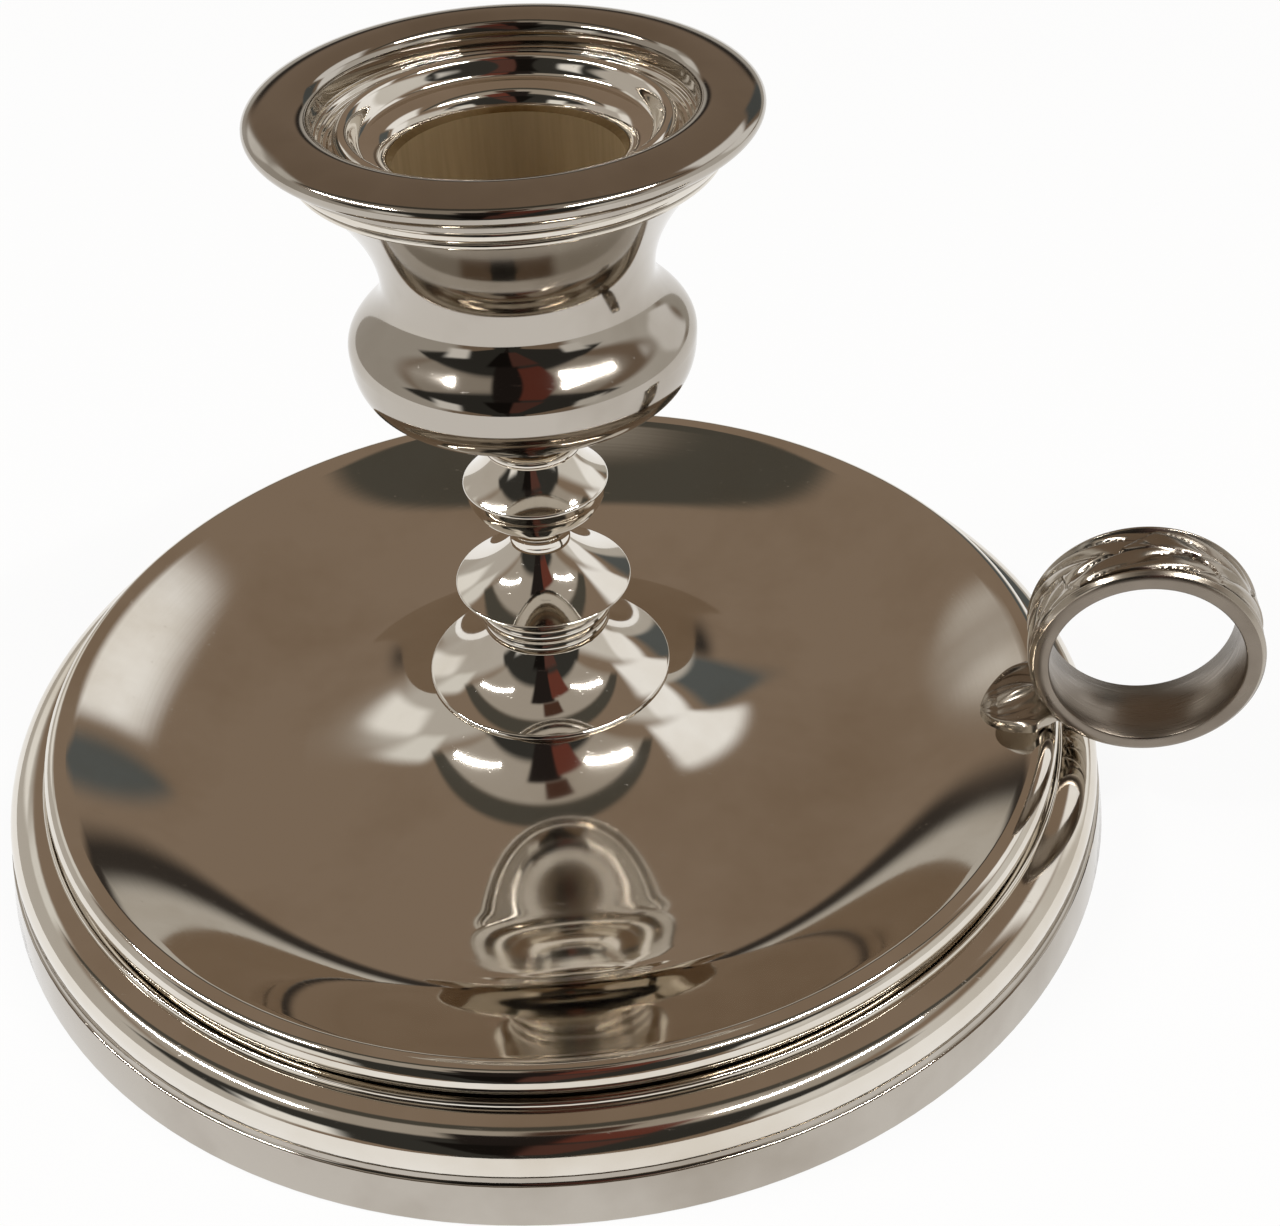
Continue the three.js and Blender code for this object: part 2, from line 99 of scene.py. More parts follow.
def finishPiece(name, bm, material, body, node, sharpAngle=32):
    mesh = bpy.data.meshes.new(name)
    bm.to_mesh(mesh)
    bm.free()
    mesh.shade_smooth()
    mesh.set_sharp_from_angle(angle=math.radians(sharpAngle))
    piece = bpy.data.objects.new(name, mesh)
    bpy.context.scene.collection.objects.link(piece)
    mesh.materials.append(material)
    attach(piece, body)
    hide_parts(node)
    return piece


def turnedPiece(name, outline, material, body, node, steps=128, closed=True):
    bm = wireOutline(outline, closed)
    spinRound(bm, steps)
    return finishPiece(name, bm, material, body, node)


def linear(hexColour):
    channels = [int(hexColour[i:i + 2], 16) / 255 for i in (0, 2, 4)]
    return [c / 12.92 if c <= 0.04045 else ((c + 0.055) / 1.055) ** 2.4 for c in channels] + [1]


def addNode(tree, kind, inputs=None, **settings):
    node = tree.nodes.new(kind)
    for name, value in settings.items():
        setattr(node, name, value)
    for socket, value in (inputs or {}).items():
        if isinstance(value, bpy.types.NodeSocket):
            tree.links.new(value, node.inputs[socket])
        else:
            node.inputs[socket].default_value = value
    return node


def newMaterial(name, **constants):
    material = bpy.data.materials.new(name)
    material.use_nodes = True
    tree = material.node_tree
    shader = tree.nodes["Principled BSDF"]
    for socket, value in constants.items():
        shader.inputs[socket].default_value = value
    return material, tree, shader


# Polished silver, spun and buffed: a mirror with faint turning rings, hairline scratches,
# soft cloudy patches from handling and a dark brown shade painted into the corners.
# Pairs say between which levels of a pattern its effect comes in; sizes are in mm
silverLook = {
    "clean": "e2dcd2", "worn": "cfc5b6", "cornerShade": "43372b",
    "turningPitch": 0.35, "turningHeight": 0.0006, "turningStrength": 0.5,
    "cloudSize": 22, "clouds": (0.4, 0.75), "wear": (0.45, 0.8),
    "scratchSize": 6, "scratchStretch": 14, "scratchTurn": (0.4, 0.7, 0.9), "hairlines": (0.66, 0.78),
    "smooth": 0.035, "cloudy": 0.1, "scratched": 0.2, "cornerShadeDepth": 1.2, "corners": (0.25, 0.75),
}


def makeSilver(name, look):
    material, tree, shader = newMaterial(name, Metallic=1)
    coords = addNode(tree, "ShaderNodeTexCoord").outputs["Object"]
    split = addNode(tree, "ShaderNodeSeparateXYZ", {0: coords})
    flat = addNode(tree, "ShaderNodeCombineXYZ", {0: split.outputs[0], 1: split.outputs[1]})
    radius = addNode(tree, "ShaderNodeVectorMath", {0: flat.outputs[0]}, operation="LENGTH")
    rings = addNode(tree, "ShaderNodeCombineXYZ", {0: radius.outputs["Value"], 1: split.outputs[2]})
    turning = addNode(tree, "ShaderNodeTexNoise", {
        "Vector": rings.outputs[0], "Scale": 1000 / look["turningPitch"], "Detail": 1}, noise_dimensions="2D")
    cloud = addNode(tree, "ShaderNodeTexNoise", {
        "Vector": coords, "Scale": 1000 / look["cloudSize"], "Detail": 4, "Roughness": 0.6})
    stretched = addNode(tree, "ShaderNodeMapping", {
        "Vector": coords, "Rotation": look["scratchTurn"],
        "Scale": (1, look["scratchStretch"], look["scratchStretch"])})
    scratch = addNode(tree, "ShaderNodeTexNoise", {
        "Vector": stretched.outputs[0], "Scale": 1000 / look["scratchSize"], "Detail": 3, "Roughness": 0.7})
    hairline = addNode(tree, "ShaderNodeMapRange", {
        "Value": scratch.outputs["Fac"], "From Min": look["hairlines"][0], "From Max": look["hairlines"][1]})
    roughCloud = addNode(tree, "ShaderNodeMapRange", {
        "Value": cloud.outputs["Fac"], "From Min": look["clouds"][0], "From Max": look["clouds"][1],
        "To Min": look["smooth"], "To Max": look["cloudy"]})
    roughness = addNode(tree, "ShaderNodeMath", {
        0: hairline.outputs[0], 1: look["scratched"], 2: roughCloud.outputs[0]}, operation="MULTIPLY_ADD")
    tone = addNode(tree, "ShaderNodeMapRange", {
        "Value": cloud.outputs["Fac"], "From Min": look["wear"][0], "From Max": look["wear"][1]})
    polish = addNode(tree, "ShaderNodeMix", {
        "Factor": tone.outputs[0], "A": linear(look["clean"]), "B": linear(look["worn"])}, data_type="RGBA")
    # painted shade: ambient occlusion pulls the colour towards dark brown in corners and cuts
    corner = addNode(tree, "ShaderNodeAmbientOcclusion", {"Distance": look["cornerShadeDepth"] * mm},
                     samples=6, only_local=True)
    openness = addNode(tree, "ShaderNodeMapRange", {
        "Value": corner.outputs["AO"], "From Min": look["corners"][0], "From Max": look["corners"][1]})
    colour = addNode(tree, "ShaderNodeMix", {
        "Factor": openness.outputs[0], "A": linear(look["cornerShade"]), "B": polish.outputs["Result"]},
        data_type="RGBA")
    ridge = addNode(tree, "ShaderNodeBump", {
        "Height": turning.outputs["Fac"], "Strength": look["turningStrength"],
        "Distance": look["turningHeight"] * mm})
    tree.links.new(colour.outputs["Result"], shader.inputs["Base Color"])
    tree.links.new(roughness.outputs[0], shader.inputs["Roughness"])
    tree.links.new(ridge.outputs[0], shader.inputs["Normal"])
    return material


silver = makeSilver("Polished silver", silverLook)
# the same silver painted greyer as shade, for the darker reflections on the foot band, socket and nozzle rim;
# a little softer
shadedLook = dict(silverLook, clean="b9b2a8", worn="a0978b", smooth=0.05, cloudy=0.13)
shadedSilver = makeSilver("Polished silver, shaded", shadedLook)
# chased silver of the ring and the leaf: softer still, with near-black shade painted into the cuts
reliefLook = dict(silverLook, clean="b0a79a", worn="8d8376", cornerShade="1f1914", smooth=0.17, cloudy=0.28,
                  cornerShadeDepth=0.9)
reliefSilver = makeSilver("Cast silver, chased", reliefLook)
print("silver ready")

# Satin silver inside the finger ring: fine lines run round the ring and blur what it mirrors
satinLook = {
    "clean": "968c80", "worn": "766c61", "patchSize": 50 / 9, "rough": (0.24, 0.4),
    "linePitch": 0.12, "lineStretch": 0.02, "lines": (0.3, 0.7), "lineHeight": 0.004, "lineStrength": 0.6,
}


def makeSatin(look):
    material, tree, shader = newMaterial("Satin silver", Metallic=1)
    coords = addNode(tree, "ShaderNodeTexCoord").outputs["Object"]
    across = addNode(tree, "ShaderNodeMapping", {
        "Vector": coords, "Scale": (look["lineStretch"], 1, look["lineStretch"])})
    lines = addNode(tree, "ShaderNodeTexNoise", {
        "Vector": across.outputs[0], "Scale": 1000 / look["linePitch"], "Detail": 2})
    patches = addNode(tree, "ShaderNodeTexNoise", {
        "Vector": coords, "Scale": 1000 / look["patchSize"], "Detail": 3})
    colour = addNode(tree, "ShaderNodeMix", {
        "Factor": patches.outputs["Fac"], "A": linear(look["clean"]), "B": linear(look["worn"])},
        data_type="RGBA")
    roughness = addNode(tree, "ShaderNodeMapRange", {
        "Value": lines.outputs["Fac"], "From Min": look["lines"][0], "From Max": look["lines"][1],
        "To Min": look["rough"][0], "To Max": look["rough"][1]})
    ridge = addNode(tree, "ShaderNodeBump", {
        "Height": lines.outputs["Fac"], "Strength": look["lineStrength"],
        "Distance": look["lineHeight"] * mm})
    tree.links.new(colour.outputs["Result"], shader.inputs["Base Color"])
    tree.links.new(roughness.outputs[0], shader.inputs["Roughness"])
    tree.links.new(ridge.outputs[0], shader.inputs["Normal"])
    return material


satin = makeSatin(satinLook)

# Drawn brass of the candle tube, dulled by wax: long streaks down the wall
brassLook = {
    "bright": "cdb893", "dull": "96815d", "metal": 0.55, "rough": (0.3, 0.5),
    "streakWidth": 1.4, "streakStretch": 0.06, "streaks": (0.3, 0.7),
}


def makeBrass(look):
    material, tree, shader = newMaterial("Drawn brass", Metallic=look["metal"])
    coords = addNode(tree, "ShaderNodeTexCoord").outputs["Object"]
    down = addNode(tree, "ShaderNodeMapping", {"Vector": coords, "Scale": (1, 1, look["streakStretch"])})
    streaks = addNode(tree, "ShaderNodeTexNoise", {
        "Vector": down.outputs[0], "Scale": 1000 / look["streakWidth"], "Detail": 3, "Roughness": 0.6})
    colour = addNode(tree, "ShaderNodeMix", {
        "Factor": streaks.outputs["Fac"], "A": linear(look["bright"]), "B": linear(look["dull"])},
        data_type="RGBA")
    roughness = addNode(tree, "ShaderNodeMapRange", {
        "Value": streaks.outputs["Fac"], "From Min": look["streaks"][0], "From Max": look["streaks"][1],
        "To Min": look["rough"][0], "To Max": look["rough"][1]})
    tree.links.new(colour.outputs["Result"], shader.inputs["Base Color"])
    tree.links.new(roughness.outputs[0], shader.inputs["Roughness"])
    return material


brass = makeBrass(brassLook)

# Pressed wool felt on the underside: short matted fibres, a little uneven in tone
feltLook = {
    "dark": "22382a", "light": "3d5a45", "rough": 0.95, "sheen": 0.3, "patchSize": 9,
    "fibreSize": 0.5, "fibreCurl": 1.5, "fibres": (0.1, 0.45), "pileHeight": 0.15,
}


def makeFelt(look):
    material, tree, shader = newMaterial("Wool felt", Roughness=look["rough"])
    shader.inputs["Sheen Weight"].default_value = look["sheen"]
    coords = addNode(tree, "ShaderNodeTexCoord").outputs["Object"]
    fibres = addNode(tree, "ShaderNodeTexNoise", {
        "Vector": coords, "Scale": 1000 / look["fibreSize"], "Detail": 4, "Distortion": look["fibreCurl"]})
    patches = addNode(tree, "ShaderNodeTexNoise", {"Vector": coords, "Scale": 1000 / look["patchSize"]})
    blend = addNode(tree, "ShaderNodeMath", {0: fibres.outputs["Fac"], 1: patches.outputs["Fac"]},
                    operation="MULTIPLY")
    spread = addNode(tree, "ShaderNodeMapRange", {
        "Value": blend.outputs[0], "From Min": look["fibres"][0], "From Max": look["fibres"][1]})
    colour = addNode(tree, "ShaderNodeMix", {
        "Factor": spread.outputs[0], "A": linear(look["dark"]), "B": linear(look["light"])}, data_type="RGBA")
    pile = addNode(tree, "ShaderNodeBump", {
        "Height": fibres.outputs["Fac"], "Distance": look["pileHeight"] * mm})
    tree.links.new(colour.outputs["Result"], shader.inputs["Base Color"])
    tree.links.new(pile.outputs[0], shader.inputs["Normal"])
    return material


felt = makeFelt(feltLook)

# Plain steel of the bolt, and the plaster that loads the foot: both out of sight
hiddenLooks = {
    "Turned steel": {"light": "9a9a97", "dark": "6f6f6d", "metal": 1, "rough": 0.4, "grain": 0.8,
                     "nodes": ("tie_rod", "base_washer", "base_nut")},
    "Set plaster": {"light": "7d7468", "dark": "5c544a", "metal": 0, "rough": 0.9, "grain": 2.5,
                    "nodes": ("base_fill",)},
}


def makeHidden(name, look):
    material, tree, shader = newMaterial(name, Metallic=look["metal"], Roughness=look["rough"])
    coords = addNode(tree, "ShaderNodeTexCoord").outputs["Object"]
    grain = addNode(tree, "ShaderNodeTexNoise", {
        "Vector": coords, "Scale": 1000 / look["grain"], "Detail": 4})
    colour = addNode(tree, "ShaderNodeMix", {
        "Factor": grain.outputs["Fac"], "A": linear(look["light"]), "B": linear(look["dark"])},
        data_type="RGBA")
    tree.links.new(colour.outputs["Result"], shader.inputs["Base Color"])
    return material


for hiddenName, hiddenLook in hiddenLooks.items():
    hiddenMaterial = makeHidden(hiddenName, hiddenLook)
    for nodeName in hiddenLook["nodes"]:
        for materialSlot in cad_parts[nodeName].material_slots:
            materialSlot.material = hiddenMaterial
print("all materials ready")

# Tray: one spun sheet from the pedestal over the rolled lip
dish = {"sheet": 0.8, "floor": 4.4, "trough": 37, "hole": stemBore,
        "top": (10.1, 15.0), "topSlope": 52, "foot": (29.9, 5.0), "footSlope": 13, "toe": 41.4,
        "lipCentre": (56.15, 12.3), "lipRoll": 1.7, "lipStart": 124, "lipEnd": -75, "lipPull": 8}
lipRadii = (dish["lipRoll"], dish["lipRoll"])
lipTurn = math.radians(dish["lipStart"])
lipStart = arc(dish["lipCentre"], lipRadii, dish["lipStart"], dish["lipStart"], 1)[0]
wallFoot = (dish["trough"], dish["floor"])
wallPull = (lipStart[0] - dish["lipPull"] * math.sin(lipTurn),
            lipStart[1] + dish["lipPull"] * math.cos(lipTurn))
dishFace = [(dish["hole"], dish["top"][1])]
dishFace += slopedFace(dish["foot"], dish["top"], dish["footSlope"], dish["topSlope"], 48)[::-1]
dishFace += slopedFace(wallFoot, dish["foot"], 0, dish["footSlope"], 12)[-2::-1]
dishFace += sweep(wallFoot, (dish["toe"], dish["floor"]), wallPull, lipStart, 28)[1:]
dishFace += arc(dish["lipCentre"], lipRadii, dish["lipStart"], dish["lipEnd"], 22)[1:]
dishOutline = dishFace + sheetBack(dishFace, dish["sheet"])
turnedPiece("tray", dishOutline, silver, "holder", "dish_pan", steps=160)

# Rim mouldings outside the lip
rim = {"beadCentre": (58.15, 10.3), "beadHalf": 0.32, "beadHeight": 0.62,
       "ovoloEdge": 58.45, "ovoloOuter": 62.65, "ovoloInner": 57.0, "ovoloFoot": 5.72, "footRound": 0.2,
       "filletTop": 7.2, "ovoloTop": 10.3}
bead = arc(rim["beadCentre"], (rim["beadHalf"], rim["beadHeight"]), 0, 180, 10)
turnedPiece("rimBead", bead, silver, "holder", "rim_bead", steps=160)
ovolo = [(rim["ovoloInner"], rim["ovoloFoot"]), (rim["ovoloOuter"], rim["ovoloFoot"], rim["footRound"])]
ovolo += arc((rim["ovoloEdge"], rim["filletTop"]),
             (rim["ovoloOuter"] - rim["ovoloEdge"], rim["ovoloTop"] - rim["filletTop"]), 0, 90, 22)
ovolo += [(rim["ovoloInner"], rim["ovoloTop"])]
turnedPiece("rimOvolo", ovolo, silver, "holder", "rim_ovolo", steps=160)

# Foot band, splayed, with a fine cove under the ovolo
foot = {"inner": 60.2, "outer": 64, "outerRound": 0.35, "top": 63.1, "height": 4.8, "topRound": 0.12,
        "coveTop": 5.7, "coveIn": 62.65, "coveHeight": 0.78}
footOutline = [(foot["inner"], 0), (foot["outer"], 0, foot["outerRound"]),
               (foot["top"], foot["height"], foot["topRound"])]
footOutline += arc((foot["top"], foot["coveTop"]), (foot["top"] - foot["coveIn"], foot["coveHeight"]),
                   -90, -180, 6)
footOutline += [(foot["inner"], foot["coveTop"])]
# the foot band takes the greyer silver copy: painted shade
turnedPiece("footBand", footOutline, shadedSilver, "holder", "foot_band", steps=160)

# Felt pad inside the foot band
pad = {"radius": 59.9, "low": 0.05, "top": 1.0, "round": 0.3}
padOutline = [(0, pad["low"]), (pad["radius"], pad["low"], pad["round"]), (pad["radius"], pad["top"]),
              (0, pad["top"])]
turnedPiece("feltPad", padOutline, felt, "holder", "felt_pad", closed=False)
print("tray ready")


# Stem: each outline runs up its outer side, the bore for the tie rod closes it
def stemPiece(name, outer, node):
    outline = [(stemBore, outer[0][1])] + outer + [(stemBore, outer[-1][1])]
    return turnedPiece(name, outline, silver, "holder", node, steps=96)


shoulder = {"foot": (10.1, 15.02), "low": 15.5, "lowRound": 0.25, "edge": (13.85, 16.1), "round": 0.28,
            "top": (6.3, 21.95), "slopes": (24, 53)}
bell = [shoulder["foot"], (shoulder["edge"][0], shoulder["low"], shoulder["lowRound"]),
        (*shoulder["edge"], shoulder["round"])]
bell += slopedFace(shoulder["edge"], shoulder["top"], *shoulder["slopes"], 24)[1:]
stemPiece("shoulderBell", bell, "shoulder_bell")

reeds = {"count": 3, "foot": 21.95, "pitch": 1.83, "low": 7.2, "step": 0.35, "depth": 0.7}
reedOuter = []
for i in range(reeds["count"]):
    reedCentre = (reeds["low"] + i * reeds["step"] - reeds["depth"],
                  reeds["foot"] + (i + 0.5) * reeds["pitch"])
    reedOuter += arc(reedCentre, (reeds["depth"], reeds["pitch"] / 2), -90, 90, 10)
stemPiece("reedCollar", reedOuter, "reed_collar")

lowKnop = {"foot": (8.9, 27.44), "edge": (9.85, 28.14), "round": 0.26, "top": (3.3, 33.24),
           "slopes": (29, 49)}
lowOuter = [lowKnop["foot"], (*lowKnop["edge"], lowKnop["round"])]
lowOuter += slopedFace(lowKnop["edge"], lowKnop["top"], *lowKnop["slopes"], 22)[1:]
stemPiece("lowerKnop", lowOuter, "lower_knop")

spool = {"low": 33.24, "top": 37.04, "foot": 3.3, "waist": 2.9, "waistSpan": (34.51, 35.77), "head": 4.4,
         "flange": 0.4}
spoolOuter = [(spool["foot"], spool["low"])]
spoolOuter += sweep((spool["foot"], spool["low"] + spool["flange"]),
                    (spool["waist"], spool["waistSpan"][0]), (spool["waist"], spool["waistSpan"][1]),
                    (spool["head"], spool["top"] - spool["flange"]), 14)
spoolOuter += [(spool["head"], spool["top"])]
stemPiece("spool", spoolOuter, "spool")

highKnop = {"foot": 4.4, "low": 37.04, "edge": (7.5, 40.34), "widest": (7.85, 41.24), "round": 0.2,
            "top": (4.4, 45.14), "slopes": (38, 58)}
highOuter = arc((highKnop["foot"], highKnop["edge"][1]),
                (highKnop["edge"][0] - highKnop["foot"], highKnop["edge"][1] - highKnop["low"]), -90, 0, 16)
highOuter += [(*highKnop["widest"], highKnop["round"])]
highOuter += slopedFace(highKnop["widest"], highKnop["top"], *highKnop["slopes"], 16)[1:]
stemPiece("upperKnop", highOuter, "upper_knop")

collar = {"low": 45.14, "ring": 5.2, "ringHeight": 1.2, "waist": 4.3, "waistFoot": 46.4,
          "waistSpan": (48.24, 49.42), "head": 6.7, "top": 50.84}
ringHalf = collar["ringHeight"] / 2
collarOuter = arc((collar["ring"] - ringHalf, collar["low"] + ringHalf), (ringHalf, ringHalf), -90, 90, 10)
collarOuter += sweep((collar["waist"], collar["waistFoot"]), (collar["waist"], collar["waistSpan"][0]),
                     (collar["waist"], collar["waistSpan"][1]), (collar["head"], collar["top"]), 16)
stemPiece("neckCollar", collarOuter, "neck_collar")

fillet = {"low": 50.84, "foot": 9.6, "step": 51.74, "stepDrop": 0.05, "stepRound": 0.1, "top": 53.34,
          "head": 12.6, "startAngle": -88}
filletOuter = [(fillet["foot"], fillet["low"]),
               (fillet["foot"], fillet["step"] - fillet["stepDrop"], fillet["stepRound"])]
filletOuter += arc((fillet["foot"], fillet["top"]),
                   (fillet["head"] - fillet["foot"], fillet["top"] - fillet["step"]),
                   fillet["startAngle"], 0, 12)
stemPiece("bulbFillet", filletOuter, "bulb_fillet")
print("stem ready")

# Vase-shaped socket: cup, waisted neck and a lip of two reeds; pulls steer the curves between
vase = {"sheet": 1.0, "low": 53.34, "foot": 14.1, "footPull": (16.43, 54.05), "sidePull": 55.24,
        "radius": 17.6, "widest": 59.04, "shoulderPull": 61.64, "waistPulls": (62.49, 70.04),
        "waist": 13.6, "waistZ": 65.94, "headPull": (16.0, 74.14), "head": 19.9, "headZ": 78.24,
        "lipInner": 18.3, "lipRadius": 21.2, "lipStep": 0.5, "lipFold": 78.97, "lipTop": 80.44}
cup = sweep((vase["foot"], vase["low"]), vase["footPull"], (vase["radius"], vase["sidePull"]),
            (vase["radius"], vase["widest"]), 22)
cupFloor = vase["low"] + vase["sheet"]
cupInside = [(r - vase["sheet"], max(z, cupFloor)) for r, z in cup]
cupOutline = [(stemBore, vase["low"])] + cup + cupInside[::-1] + [(stemBore, cupFloor)]
# cup and neck take the greyer silver copy: painted shade
turnedPiece("socketBulb", cupOutline, shadedSilver, "holder", "socket_bulb")
neck = sweep((vase["radius"], vase["widest"]), (vase["radius"], vase["shoulderPull"]),
             (vase["waist"], vase["waistPulls"][0]), (vase["waist"], vase["waistZ"]), 26)
neck += sweep((vase["waist"], vase["waistZ"]), (vase["waist"], vase["waistPulls"][1]), vase["headPull"],
              (vase["head"], vase["headZ"]), 26)[1:]
neckInside = [(r - vase["sheet"], z) for r, z in neck]
turnedPiece("socketNeck", neck + neckInside[::-1], shadedSilver, "holder", "socket_neck")
lowHalf, highHalf = (vase["lipFold"] - vase["headZ"]) / 2, (vase["lipTop"] - vase["lipFold"]) / 2
lowCentre = (vase["lipRadius"] - vase["lipStep"] - lowHalf, vase["headZ"] + lowHalf)
highCentre = (vase["lipRadius"] - highHalf, vase["lipFold"] + highHalf)
lipOutline = [(vase["lipInner"], vase["headZ"])]
lipOutline += arc(lowCentre, (lowHalf, lowHalf), -90, 90, 8)
lipOutline += arc(highCentre, (highHalf, highHalf), -90, 90, 12)
lipOutline += [(vase["lipInner"], vase["lipTop"])]
turnedPiece("socketLip", lipOutline, silver, "holder", "socket_lip")
print("socket ready")

# Loose nozzle: broad domed rim over a plain band
nozzle = {"seat": 80.74, "face": 81.54, "radius": 24.35, "crest": (20.45, 84.44), "widest": 82.84,
          "rimFoot": 81.74, "footRound": 1.3, "band": 22.5, "bandRounds": (0.2, 0.1), "rimInner": 18.05,
          "panRadius": 21.2, "bore": 11.1}
crestR, crestZ = nozzle["crest"]
rimHeight = crestZ - nozzle["widest"]
seatRound, bandRound = nozzle["bandRounds"]
rimOutline = [(nozzle["panRadius"], nozzle["seat"]), (nozzle["band"], nozzle["seat"], seatRound),
              (nozzle["band"], nozzle["rimFoot"], bandRound)]
rimOutline += arc((nozzle["radius"] - nozzle["footRound"], nozzle["widest"]),
                  (nozzle["footRound"], nozzle["widest"] - nozzle["rimFoot"]), -90, 0, 10)
rimOutline += arc((crestR, nozzle["widest"]), (nozzle["radius"] - crestR, rimHeight), 0, 90, 22)[1:]
rimOutline += arc((crestR, nozzle["widest"]), (crestR - nozzle["rimInner"], rimHeight), 90, 180, 16)[1:]
rimOutline += [(nozzle["rimInner"], nozzle["face"]), (nozzle["panRadius"], nozzle["face"])]
# the nozzle rim takes the greyer silver copy: painted shade
turnedPiece("nozzleRim", rimOutline, shadedSilver, "nozzle", "nozzle_rim")

# Drip pan: small steps fall from the rim to the seat of the mouth
mouth = {"seat": 80.04, "radius": 16.3, "crest": (15.3, 81.84), "crestHeight": 1.2, "ogee": 14.4,
         "valley": (13.5, 79.94), "throatDrop": 2.2, "foot": 77.44, "under": (14.8, 79.24)}
pan = {"inner": 15.1, "seatEdge": (16.7, mouth["seat"], 0.15), "outer": (18.0, nozzle["face"], 0.06),
       "steps": [(16.85, 80.35, 0.08), (17.15, 80.4, 0.08), (17.3, 80.72, 0.08), (17.6, 80.78, 0.08),
                 (17.75, 81.12, 0.08), (17.98, 81.16, 0.06)],
       "underEdge": 18.0, "underFoot": 16.9}
panFace = [(pan["inner"], mouth["seat"]), pan["seatEdge"], *pan["steps"], pan["outer"],
           (nozzle["panRadius"], nozzle["face"])]
panBack = [(nozzle["panRadius"], nozzle["seat"]), (pan["underEdge"], nozzle["seat"]),
           (pan["underFoot"], mouth["under"][1]), (pan["inner"], mouth["under"][1])]
turnedPiece("nozzlePan", panFace + panBack, silver, "nozzle", "nozzle_pan")

# Mouth: a round crest that falls inwards as an ogee to the candle hole
tube = {"outer": 11.8, "foot": 57.94, "wall": 0.7, "footRound": 0.4, "innerRound": 0.3}
mouthOutline = [(mouth["radius"], mouth["seat"])]
mouthOutline += arc((mouth["crest"][0], mouth["crest"][1] - mouth["crestHeight"]),
                    (mouth["radius"] - mouth["crest"][0], mouth["crestHeight"]), 0, 90, 12)
mouthOutline += sweep(mouth["crest"], (mouth["ogee"], mouth["crest"][1]),
                      (mouth["ogee"], mouth["valley"][1]), mouth["valley"], 18)[1:]
mouthOutline += arc((mouth["valley"][0], mouth["valley"][1] - mouth["throatDrop"]),
                    (mouth["valley"][0] - nozzle["bore"], mouth["throatDrop"]), 90, 180, 14)[1:]
mouthOutline += [(nozzle["bore"], mouth["foot"]), (tube["outer"], mouth["foot"]), mouth["under"],
                 (mouth["under"][0], mouth["seat"])]
turnedPiece("nozzleMouth", mouthOutline, silver, "nozzle", "nozzle_mouth")

# Candle tube, closed at its foot
tubeFloor = tube["foot"] + tube["wall"]
tubeOutline = [(0, tube["foot"]), (tube["outer"], tube["foot"], tube["footRound"]),
               (tube["outer"], mouth["foot"]), (nozzle["bore"], mouth["foot"]),
               (nozzle["bore"], tubeFloor, tube["innerRound"]), (0, tubeFloor)]
turnedPiece("candleTube", tubeOutline, brass, "nozzle", "nozzle_tube", closed=False)
print("nozzle ready")

# Finger ring: a band with beaded edges and acanthus leaves laid end to end round it.
# Across runs from -1 to 1 over the face; rounds are steps in from the edge, (radius, width)
ring = {"centre": (65.75, 0, 23.675), "inner": 10.2, "outer": 12.05, "half": 4.55, "faceInset": 0.5,
        "innerRound": 0.15, "outerRounds": [(0.75, 0), (0.3, 0.12), (0.08, 0.32)], "satinInset": 0.25,
        "beadFrom": 0.87, "beadHeight": 0.22, "beadPower": 0.7, "grooveFrom": 0.8, "grooveDepth": 0.34,
        "leaves": 5, "leafLean": 0.25, "leafSway": 0.05, "strokes": 2.6, "drift": 2.1, "strokeSway": 0.12,
        "ribHeight": 0.5, "ribLevel": 0.75, "ribPower": 0.7, "fadeIn": 5, "fadeOut": 7,
        "crown": 0.2, "overlap": 0.34, "overlapLevel": 0.55, "overlapTaper": 0.7,
        "lowest": -0.4, "highest": 0.42, "across": 56, "around": 320}


# long strokes run round the ring, drifting out from the middle;
# each leaf rises to its tip over the next one's root
def leafRelief(along, across):
    edge = abs(across)
    if edge >= 1:
        return 0
    if edge > ring["beadFrom"]:
        rise = (edge - ring["beadFrom"]) / (1 - ring["beadFrom"])
        return ring["beadHeight"] * math.sin(math.pi * rise) ** ring["beadPower"]
    if edge > ring["grooveFrom"]:
        fall = (edge - ring["grooveFrom"]) / (ring["beadFrom"] - ring["grooveFrom"])
        return -ring["grooveDepth"] * math.sin(math.pi * fall)
    sway = ring["leafSway"] * math.sin(6 * math.pi * along + 4 * across)
    shift = 0.5 if across > 0 else 0
    leaf = (along * ring["leaves"] + ring["leafLean"] * edge + sway + shift) % 1
    stroke = ring["strokes"] * edge - ring["drift"] * leaf + ring["strokeSway"] * math.sin(9 * edge)
    rib = abs(math.sin(math.pi * stroke)) ** ring["ribPower"]
    fade = min(1, ring["fadeIn"] * leaf, ring["fadeOut"] * (1 - leaf))
    height = ring["crown"] * (1 - edge * edge) + ring["ribHeight"] * fade * (rib - ring["ribLevel"])
    height += ring["overlap"] * (leaf - ring["overlapLevel"]) * (1 - ring["overlapTaper"] * edge)
    return min(max(height, ring["lowest"]), ring["highest"])


